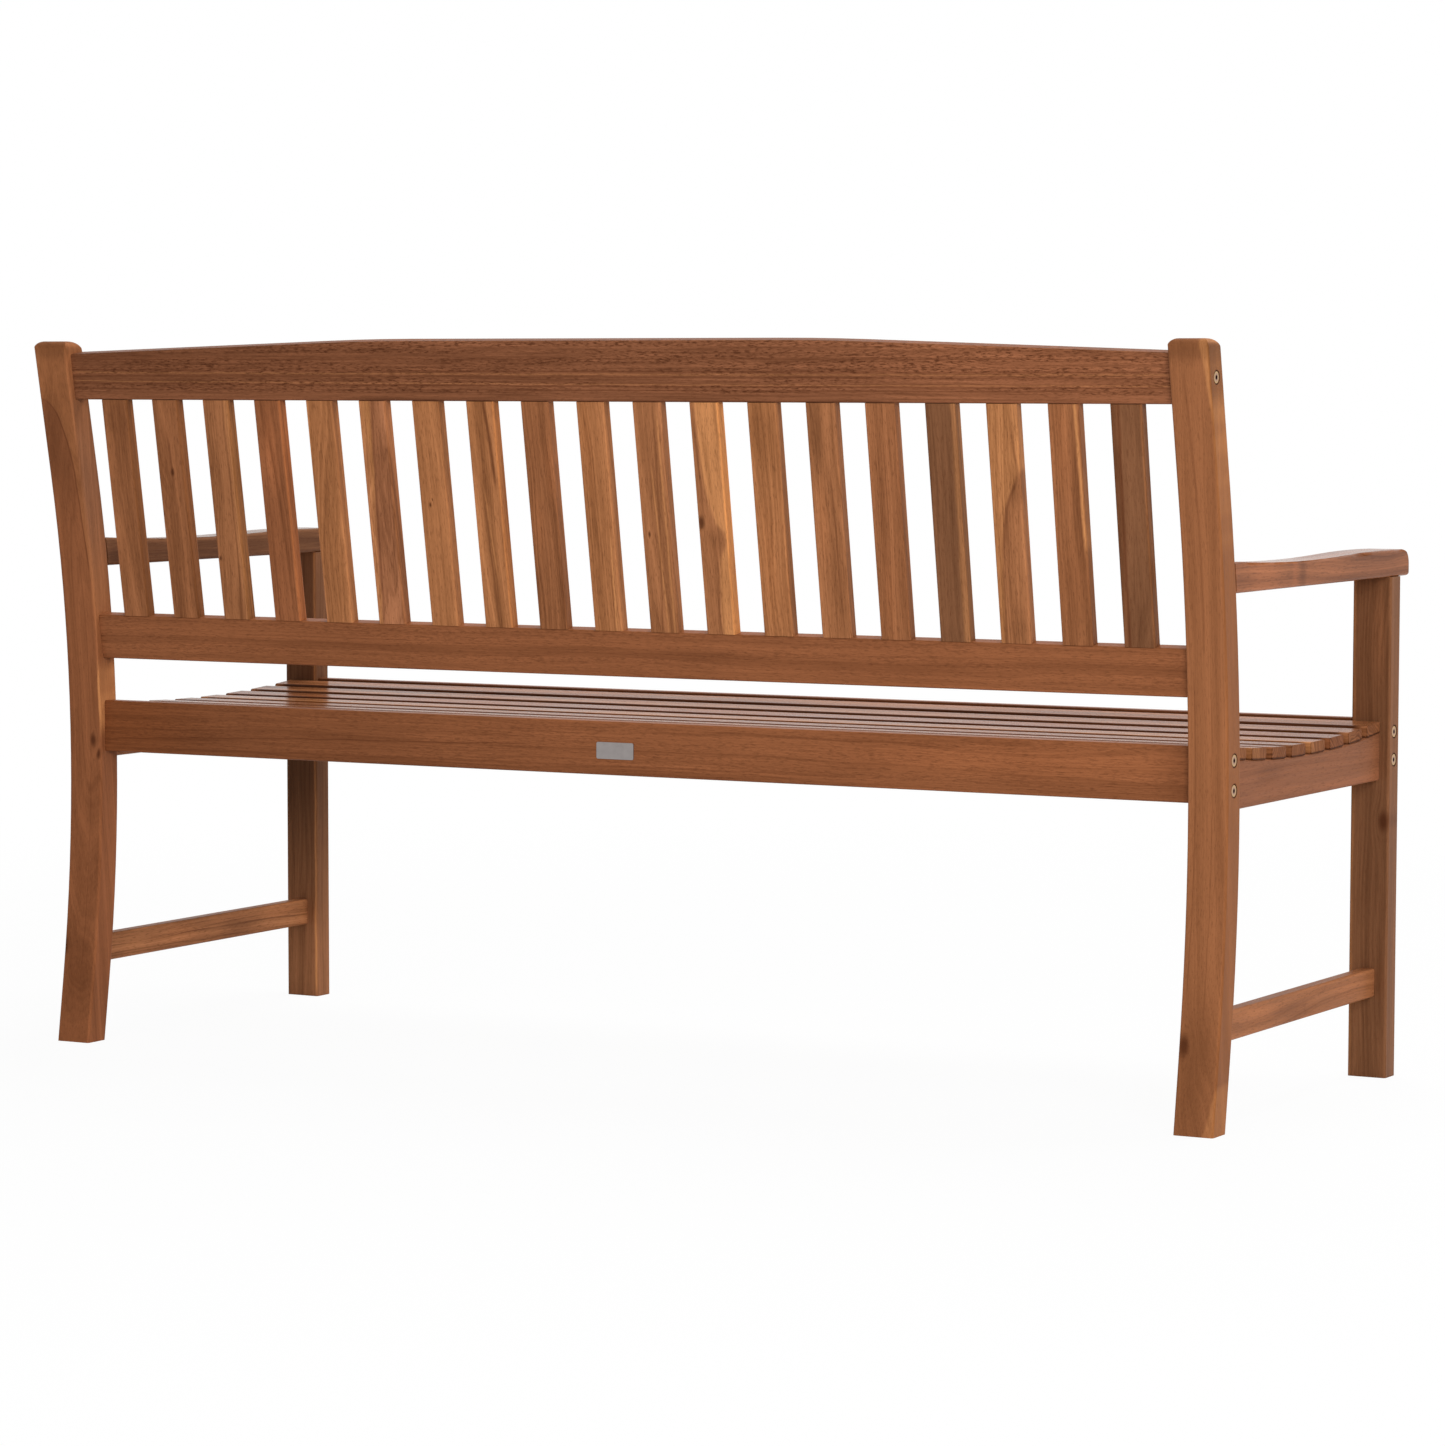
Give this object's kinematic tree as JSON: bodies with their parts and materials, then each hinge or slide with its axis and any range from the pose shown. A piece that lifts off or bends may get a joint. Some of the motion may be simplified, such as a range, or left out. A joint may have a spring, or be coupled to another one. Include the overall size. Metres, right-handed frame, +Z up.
{
  "type": "garden bench",
  "caption": "Slatted wooden garden bench with curved rear posts, a leaning slatted back with an arched crest rail, a dished seat and shaped armrests.",
  "frame": {"origin": "on the ground under the centre of the bounding box", "axes": "+X along the bench towards the sitter's left end, +Y towards the back, +Z up; the sitter faces -Y"},
  "size_m": [1.5, 0.5866, 0.8409],
  "materials": {
    "post_wood": "oiled hardwood, satin",
    "leg_wood": "oiled hardwood, satin",
    "arm_wood": "oiled hardwood, satin",
    "side_rail_wood": "oiled hardwood, satin",
    "long_rail_wood": "oiled reddish hardwood, satin",
    "crest_wood": "oiled dark red-brown hardwood with interlocked grain, satin",
    "seat_slat_wood": "oiled hardwood, satin",
    "back_slat_wood": "oiled hardwood, satin",
    "bolt_brass": "plain, slightly dull",
    "nut_steel": "zinc plated",
    "screw_steel": "plain",
    "dowel_beech": "raw, fluting left out",
    "plate_metal": "brushed, blank"
  },
  "bodies": {
    "root": {"rear_post_left": "post_wood", "rear_post_right": "post_wood", "front_leg_left": "leg_wood", "front_leg_right": "leg_wood", "lower_stretcher_left": "leg_wood", "lower_stretcher_right": "leg_wood", "armrest_left": "arm_wood", "armrest_right": "arm_wood", "seat_side_rail_left": "side_rail_wood", "seat_side_rail_right": "side_rail_wood", "seat_bearer_left": "side_rail_wood", "seat_bearer_right": "side_rail_wood", "rear_seat_rail": "long_rail_wood", "front_seat_rail": "long_rail_wood", "lower_back_rail": "long_rail_wood", "crest_rail": "crest_wood", "seat_slat_1": "seat_slat_wood", "seat_slat_2": "seat_slat_wood", "seat_slat_3": "seat_slat_wood", "seat_slat_4": "seat_slat_wood", "seat_slat_5": "seat_slat_wood", "seat_slat_6": "seat_slat_wood", "seat_slat_7": "seat_slat_wood", "seat_slat_8": "seat_slat_wood", "back_slat_01": "back_slat_wood", "back_slat_02": "back_slat_wood", "back_slat_03": "back_slat_wood", "back_slat_04": "back_slat_wood", "back_slat_05": "back_slat_wood", "back_slat_06": "back_slat_wood", "back_slat_07": "back_slat_wood", "back_slat_08": "back_slat_wood", "back_slat_09": "back_slat_wood", "back_slat_10": "back_slat_wood", "back_slat_11": "back_slat_wood", "back_slat_12": "back_slat_wood", "back_slat_13": "back_slat_wood", "back_slat_14": "back_slat_wood", "back_slat_15": "back_slat_wood", "back_slat_16": "back_slat_wood", "back_slat_17": "back_slat_wood", "back_slat_18": "back_slat_wood", "back_slat_19": "back_slat_wood", "crest_bolts": "bolt_brass", "rear_rail_bolts": "bolt_brass", "front_rail_bolts": "bolt_brass", "barrel_nuts": "nut_steel", "slat_screws": "screw_steel", "back_dowels": "dowel_beech", "bearer_dowels": "dowel_beech", "blank_plate": "plate_metal"}
  },
  "joints": []
}
